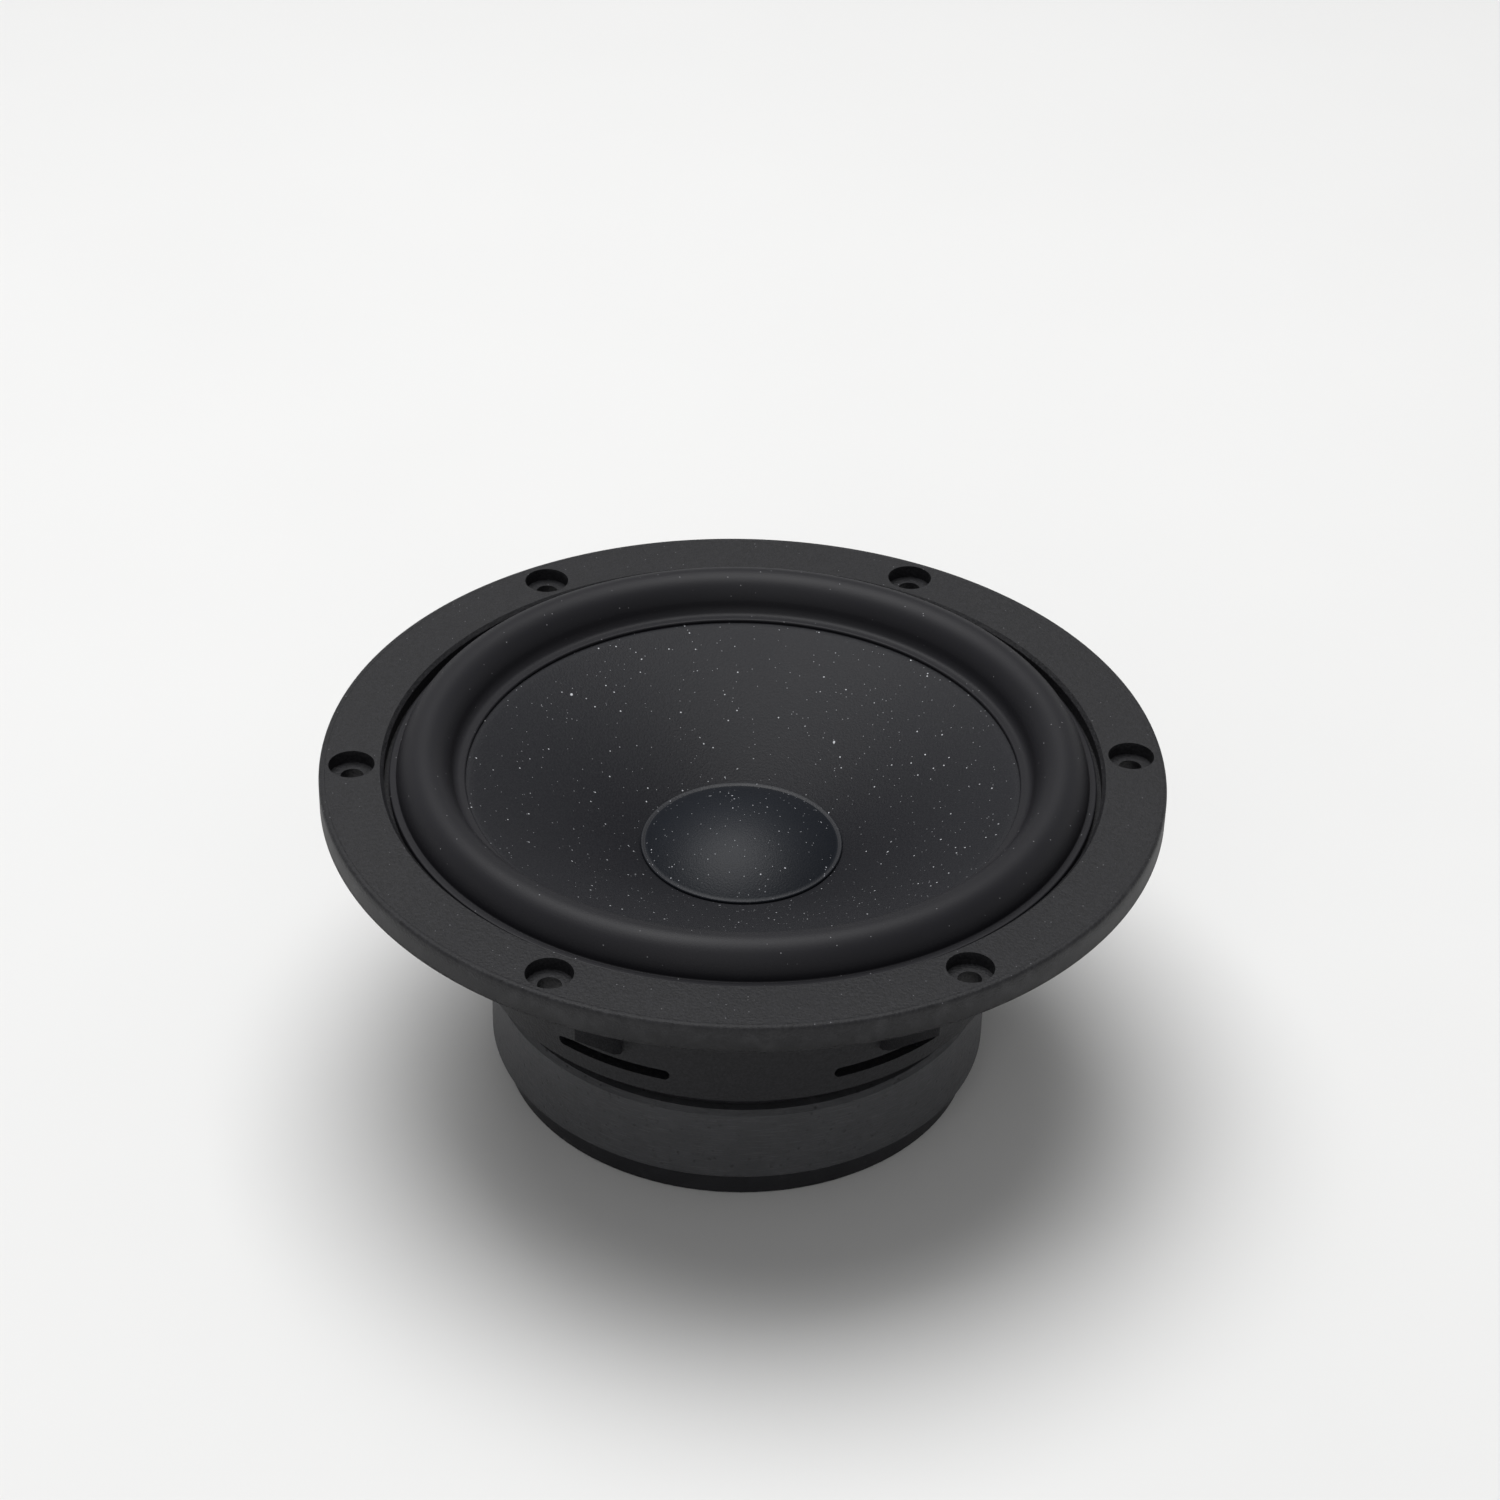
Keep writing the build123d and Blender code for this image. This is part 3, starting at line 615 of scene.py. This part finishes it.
lip_r, seat_z, crest_z = node_span("surround")
foot_z = seat_z + SHEET
roll_in, roll_out = lip_r - 12.3, lip_r - 1.4
roll_mid, roll_half = (roll_in + roll_out) / 2, (roll_out - roll_in) / 2
roll_high = crest_z - foot_z
foot_r = roll_in - 2.5
lip_z = foot_z + LIP_RISE
lift = float(np.degrees(np.arcsin(LIP_RISE / roll_high)))
top = ellipse_run(roll_mid, foot_z, roll_half, roll_high, 180, lift, 72)
under = ellipse_run(roll_mid, foot_z, roll_half - SHEET, roll_high - SHEET, 0, 180, 48)
t = np.linspace(0, 1, 7)[:, None]
toe = (1 - t) ** 2 * [roll_in - TOE_START, foot_z]
toe = toe + 2 * t * (1 - t) * [roll_in + TOE_BEND, foot_z] + t**2 * np.array(top[TOE_JOIN])
lip_top = rounded([
    (roll_out, lip_z - 0.3), (roll_out + 0.15, lip_z), (lip_r, lip_z, 0.35), (lip_r, seat_z, 0.1),
])[1:]
outline = [
    (foot_r, seat_z), (foot_r, foot_z - 0.35), (foot_r, foot_z - 0.28),
    (foot_r + 0.08, foot_z - 0.08), (foot_r + 0.28, foot_z), (foot_r + 0.36, foot_z),
    *toe.tolist(), *top[TOE_JOIN + 1:], *lip_top.tolist(),
    (roll_out - SHEET, seat_z), *under, (roll_in + SHEET, seat_z),
]
surround = turned("surround_roll", outline, 320)
rubber.on(surround)
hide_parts("surround")
radial_blend(surround, roll_in + SHEET, roll_out - SHEET)

WALL = 0.7  # mm, thickness of the cone
CONE_DEPTH, BOW = 19.3, 180.0  # mm, rim to neck, and radius of the curve between them

cone_edge, neck_low, rim_z = node_span("cone")
neck_r = 16.45
neck_z, flat_r = rim_z - CONE_DEPTH, foot_r - 0.8
half = np.hypot(flat_r - neck_r, rim_z - neck_z) / 2
reach = np.sqrt(BOW**2 - half**2)
mid_r, mid_z = (flat_r + neck_r) / 2, (rim_z + neck_z) / 2
bow_r = mid_r + reach * (rim_z - neck_z) / (2 * half)
bow_z = mid_z - reach * (flat_r - neck_r) / (2 * half)


def on_cone(r, off=0.0):
    """Height of the cone's front face at radius r, moved off along the bow's radius.

    A circle of radius bow + off round a centre behind the cone: z = centre + sqrt(R^2 - (r - c)^2).
    """
    return bow_z + np.sqrt((BOW + off) ** 2 - (r - bow_r) ** 2)


front_r = np.linspace(flat_r - 0.3, neck_r, 40)
back_r = np.linspace(neck_r + WALL, flat_r + 0.2, 40)
front = np.stack([front_r, on_cone(front_r)], -1)
back = np.stack([back_r, on_cone(back_r, -WALL)], -1)
outline = [
    (cone_edge, rim_z - WALL), (cone_edge, rim_z), (flat_r + 0.3, rim_z), (flat_r, rim_z - 0.05),
    *front.tolist(), (neck_r, neck_low), (neck_r + WALL, neck_low), *back.tolist(),
    (flat_r + 0.5, rim_z - WALL),
]
cone = turned("cone_shell", outline, 320)
cone_black.on(cone)
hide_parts("cone")
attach(cone, "cone_body")

CAP_RIM, CAP_WALL = 0.8, 0.6  # mm, width and height of the cap's rim, thickness of its dome

cap_r, _, cap_top = node_span("dust_cap")
dome_r = cap_r - CAP_RIM
dome_z = on_cone(dome_r) + CAP_RIM
rise = cap_top - dome_z
ball = (dome_r**2 + rise**2) / (2 * rise)
outer_r, inner_r = np.linspace(0, dome_r, 40), np.linspace(cap_r - 1.4, 0, 30)
outer = np.stack([outer_r, cap_top - ball + np.sqrt(ball**2 - outer_r**2)], -1)
inner = np.stack([inner_r, cap_top - CAP_WALL - ball + np.sqrt(ball**2 - inner_r**2)], -1)
rest_z = on_cone(cap_r)
outline = [
    *outer.tolist(), (dome_r + 0.15, dome_z + 0.02), (cap_r - 0.25, rest_z + 0.72),
    (cap_r, rest_z + 0.5), (cap_r, rest_z), (cap_r - 1.6, on_cone(cap_r - 1.6)), *inner.tolist(),
]
cap = turned("dust_cap_dome", outline, 256)
cap_black.on(cap)
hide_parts("dust_cap")
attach(cap, "cone_body")

# ---------------------------------------------------------------- spider
# Height = sheet + WAVE sin(pi HALF_WAVES (r - first) / (last - first)), flat inside and outside.
HALF_WAVES, WAVE, CLOTH = 8, 1.1, 0.44  # half waves across; their height and the cloth, mm

spider_r, spider_low, spider_high = node_span("spider")
sheet_z = (spider_low + spider_high) / 2
first_r, last_r = neck_r + 3.75, 45.0
spread_r = np.linspace(neck_r, spider_r, 150)
phase = np.clip((spread_r - first_r) / (last_r - first_r), 0, 1) * HALF_WAVES * np.pi
wave_z = sheet_z + WAVE * np.sin(phase)
lower = np.stack([spread_r, wave_z - CLOTH / 2], -1)
upper = np.stack([spread_r, wave_z + CLOTH / 2], -1)[::-1]
spider = turned("spider_cloth_disc", [*lower.tolist(), *upper.tolist()], 240)
cloth.on(spider)
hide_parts("spider")
radial_blend(spider, first_r - 1.0, last_r + 0.5)

# ---------------------------------------------------------------- leads
def bent_route(points, radius, step=0.15):
    """Points along a polyline whose corners are tangent arcs of one radius, evenly close."""
    points = [np.array(p, float) for p in points]
    out = [points[0]]
    for before, corner, after in zip(points, points[1:], points[2:]):
        a, b = before - corner, after - corner
        a, b = a / np.linalg.norm(a), b / np.linalg.norm(b)
        half_angle = np.arccos(np.clip(a @ b, -1, 1)) / 2
        cut = radius / np.tan(half_angle)
        middle = corner + (a + b) / np.linalg.norm(a + b) * radius / np.sin(half_angle)
        first, last = corner + a * cut - middle, corner + b * cut - middle
        sweep = np.arccos(np.clip(first @ last / radius**2, -1, 1))
        t = np.linspace(0, 1, 9)[:, None]
        arc = (np.sin((1 - t) * sweep) * first + np.sin(t * sweep) * last) / np.sin(sweep)
        out += list(middle + arc)
    out.append(points[-1])
    out = np.array(out)
    run = np.concatenate([[0], np.cumsum(np.linalg.norm(np.diff(out, axis=0), axis=1))])
    even = np.linspace(0, run[-1], int(run[-1] / step) + 1)
    return np.stack([np.interp(even, run, out[:, k]) for k in range(3)], -1), even


def braided(name, route, run, radius, around=48):
    """Braided tube: a circle carried along the route, raised where either hand of strands runs.

    Its radius at distance s and turn t is radius (0.88 + 0.12 m^2), where m is the larger over
    both hands of |cos(strands t / 2 +- pi s / lay)|.
    """
    along = np.gradient(route, axis=0)
    along /= np.linalg.norm(along, axis=1)[:, None]
    side = np.cross(along, [0.0, 0.0, 1.0])
    side /= np.linalg.norm(side, axis=1)[:, None]
    lift = np.cross(side, along)
    t = np.linspace(0, 2 * np.pi, around, endpoint=False)
    strand, crossing = BRAID_STRANDS * t[None] / 2, np.pi * run[:, None] / BRAID_LAY
    high = np.maximum(np.abs(np.cos(strand + crossing)), np.abs(np.cos(strand - crossing)))
    size = radius * (0.88 + 0.12 * high**2)
    spoke = np.cos(t)[None, :, None] * side[:, None] + np.sin(t)[None, :, None] * lift[:, None]
    ring = route[:, None] + size[..., None] * spoke
    n = len(route)
    points = np.concatenate([ring.reshape(-1, 3), route[[0, -1]]]) * MM
    here, last = np.arange(around), (n - 1) * around
    ahead = (here + 1) % around
    start_cap = np.stack([np.full(around, n * around), ahead, here], -1)
    end_cap = np.stack([np.full(around, n * around + 1), last + here, last + ahead], -1)
    faces = ring_faces(n, around)[:, ::-1].tolist() + start_cap.tolist() + end_cap.tolist()
    uv = np.stack([np.repeat(run, around) * UV_PER_MM, np.tile(t / (2 * np.pi), n)], -1)
    uv = np.concatenate([uv, [[0, 0], [run[-1] * UV_PER_MM, 0]]])
    return add_mesh(name, points, faces, uv)


LEAD_R, LEAD_BEND, LEAD_TURN = 0.65, 6.0, 18  # mm, mm, degrees from +Y round the neck
TERMINAL_X, START_Z, END_Z = 7.0, -22.55, -15.8  # mm

joint_r = neck_r + 1.75
bead_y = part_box("tinsel_lead_positive")[1].y / MM
for tag, sign in (("positive", -1), ("negative", 1)):
    corner = np.radians(90 - sign * LEAD_TURN)
    radial = np.array([np.cos(corner), np.sin(corner)])
    points = [
        [*(radial * joint_r), START_Z], [*(radial * (joint_r + 4.0)), START_Z],
        [sign * (TERMINAL_X - 0.4), 34.0, -16.55], [sign * TERMINAL_X, 46.0, -13.2],
        [sign * TERMINAL_X, bead_y - 4.6, END_Z], [sign * TERMINAL_X, bead_y, END_Z],
    ]
    route, run = bent_route(points, LEAD_BEND)
    lead = braided("tinsel_braid_" + tag, route, run, LEAD_R)
    braid.on(lead)
    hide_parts("tinsel_lead_" + tag)
    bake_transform(lead)

# ---------------------------------------------------------------- vent cloth
vent_r, vent_low, vent_high = node_span("vent_mesh")


def woven_wires(name, radius, low, high, pitch=0.8, wire=0.13, sides=6, step=0.2):
    """Square wire cloth cut round: each wire is a hexagon carried along x or y.

    Its height at distance s is mid +- swing cos(pi s / pitch), the sign in turn.
    """
    mid, swing = (low + high) / 2, wire * 1.02
    points, faces, count = [], [], 0
    places = np.arange(-int(radius / pitch), int(radius / pitch) + 1)
    for across in (False, True):
        for k in places.tolist():
            reach = np.sqrt(max(radius**2 - (k * pitch) ** 2, 0.0)) - 0.05
            if reach < pitch:
                continue
            s = np.linspace(-reach, reach, int(2 * reach / step) + 2)
            flip = 1.0 if (k + across) % 2 else -1.0
            z = mid + flip * swing * np.cos(np.pi * s / pitch)
            base = np.stack([s, np.full_like(s, k * pitch), z], -1)
            t = np.linspace(0, 2 * np.pi, sides, endpoint=False)
            ring = base[:, None] + wire * np.stack([0 * t, np.cos(t), np.sin(t)], -1)[None]
            if across:
                ring = ring[..., [1, 0, 2]] * [-1.0, 1.0, 1.0]
            n = len(s)
            side_faces = ring_faces(n, sides)[:, ::-1] + count
            near_end = np.arange(sides) + count
            far_end = near_end[::-1] + (n - 1) * sides
            points.append(ring.reshape(-1, 3))
            faces += side_faces.tolist() + [near_end.tolist(), far_end.tolist()]
            count += n * sides
    return add_mesh(name, np.concatenate(points) * MM, faces)


vent_cloth = woven_wires("vent_wire_cloth", vent_r, vent_low, vent_high)
mesh_steel.on(vent_cloth)
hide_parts("vent_mesh")
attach(vent_cloth, "frame_body")

# ---------------------------------------------------------------- coated rim and glue
FLANGE_TOP = 5.5  # mm, the flange's front face
SKIN = 0.03  # mm, how far the coat stands proud

flange_r = node_span("basket")[0]
rim = turned("flange_rim_coat", rounded([
    (flange_r - 1.6, FLANGE_TOP - 0.4), (flange_r + SKIN, 0.0),
    (flange_r + SKIN, FLANGE_TOP + SKIN, 0.9), (flange_r - 1.2, FLANGE_TOP + SKIN),
], 9), 360)
powder_coat.on(rim)
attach(rim, "frame_body")

glue = finish_glue()
neck_glue = turned("neck_glue", rounded([
    (neck_r - 0.2, neck_low - 0.9), (neck_r + 0.5, neck_low - 0.5, 0.3),
    (neck_r + 1.1, neck_low + 0.9, 0.3), (neck_r + 0.3, neck_low + 1.0),
]), 160)
collar_glue = turned("spider_collar_glue", rounded([
    (neck_r - 0.15, sheet_z + 1.5), (neck_r - 0.15, sheet_z + 0.1),
    (neck_r + 1.5, sheet_z + 0.1, 0.1), (neck_r + 0.5, sheet_z + 0.75, 0.5),
]), 160)
for bead in (neck_glue, collar_glue):
    glue.on(bead)
    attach(bead, "cone_body")
landing_glue = turned("spider_landing_glue", rounded([
    (spider_r - 3.6, sheet_z + 0.15), (spider_r + 0.1, sheet_z + 0.1),
    (spider_r + 0.1, sheet_z + 0.9), (spider_r - 1.2, sheet_z + 0.75, 0.6),
    (spider_r - 2.9, sheet_z + 0.4, 0.3),
]), 200)
glue.on(landing_glue)
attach(landing_glue, "frame_body")

# ---------------------------------------------------------------- CAD pieces that keep their shape
powder_coat.on("basket")
film.on("voice_coil_former")
coil_wire.on("voice_coil_winding")
copper.on("coil_lead_wires")
paper.on("coil_wrap")
solder.on("coil_solder_joints", "terminal_solder_beads")
phenolic.on("terminal_board")
tin.on("terminal_positive", "terminal_negative")
brass.on("terminal_eyelets")
rivet_steel.on("board_rivets")
black_steel.on("top_plate", "yoke")
ferrite.on("magnet")
aluminium.on("shorting_ring")
zinc.on("motor_screws")

# ---------------------------------------------------------------- floor, light and camera
FLOOR = 6.0  # metres, half the floor's width
corners = [(x * FLOOR, y * FLOOR, cad_low.z) for x, y in ((-1, -1), (1, -1), (1, 1), (-1, 1))]
floor = add_mesh("pale_floor", np.array(corners), [[0, 1, 2, 3]])
floor.data.materials.append(finish_ground().material)


def light(name, kind, at, from_where, **settings):
    """A light at a point, shining from that direction."""
    lamp = bpy.data.lights.new(name, kind)
    for key, value in settings.items():
        setattr(lamp, key, value)
    holder = bpy.data.objects.new(name, lamp)
    aim = Vector(from_where).to_track_quat("Z", "Y")
    holder.matrix_world = Matrix.Translation(Vector(at)) @ aim.to_matrix().to_4x4()
    bpy.context.scene.collection.objects.link(holder)


for name, at, size, power in (
    ("overhead", (-0.1, 0.3, 1.15), 0.9, 8.5),
    ("front_fill", (-0.25, -1.3, 0.9), 1.0, 3.0),
):
    light(name, "AREA", at, at, shape="SQUARE", size=size, energy=power)
light("even_light", "SUN", (0, 0, 2), (-0.1, 0.2, 1.0), energy=1.35, angle=np.radians(50))

world = bpy.data.worlds.new("studio")
world.use_nodes = True
world.node_tree.nodes["Background"].inputs["Color"].default_value = (1.0, 1.0, 1.0, 1.0)
links, made = world.node_tree.links, world.node_tree.nodes
towards, height = made.new("ShaderNodeTexCoord"), made.new("ShaderNodeSeparateXYZ")
fade = made.new("ShaderNodeMapRange")  # brighter towards the horizon, so that no band shows there
fade.inputs["From Min"].default_value, fade.inputs["From Max"].default_value = 0.1, 0.4
fade.inputs["To Min"].default_value, fade.inputs["To Max"].default_value = 0.72, 0.2
links.new(towards.outputs["Generated"], height.inputs[0])
links.new(height.outputs[2], fade.inputs["Value"])
links.new(fade.outputs[0], made["Background"].inputs["Strength"])
bpy.context.scene.world = world
bpy.context.scene.view_settings.view_transform = "Standard"

lens = bpy.data.cameras.new("viewpoint")
lens.lens, lens.sensor_width = 88.8, 36.0
viewpoint = bpy.data.objects.new("viewpoint", lens)
bpy.context.scene.collection.objects.link(viewpoint)
swing = Matrix.Rotation(np.radians(-3.5), 3, "Z")
right, up = Vector((0.9997, 0.0127, 0.0211)), Vector((-0.0245, 0.5728, 0.8193))
behind = Vector((-0.0017, -0.8196, 0.5729))
place = swing @ Vector((0.0, -0.5908, 0.4154)) + Vector((0, 0, FLANGE_TOP * MM))
turn = Matrix([swing @ right, swing @ up, swing @ behind]).transposed()
viewpoint.matrix_world = Matrix.Translation(place) @ turn.to_4x4()
bpy.context.scene.camera = viewpoint
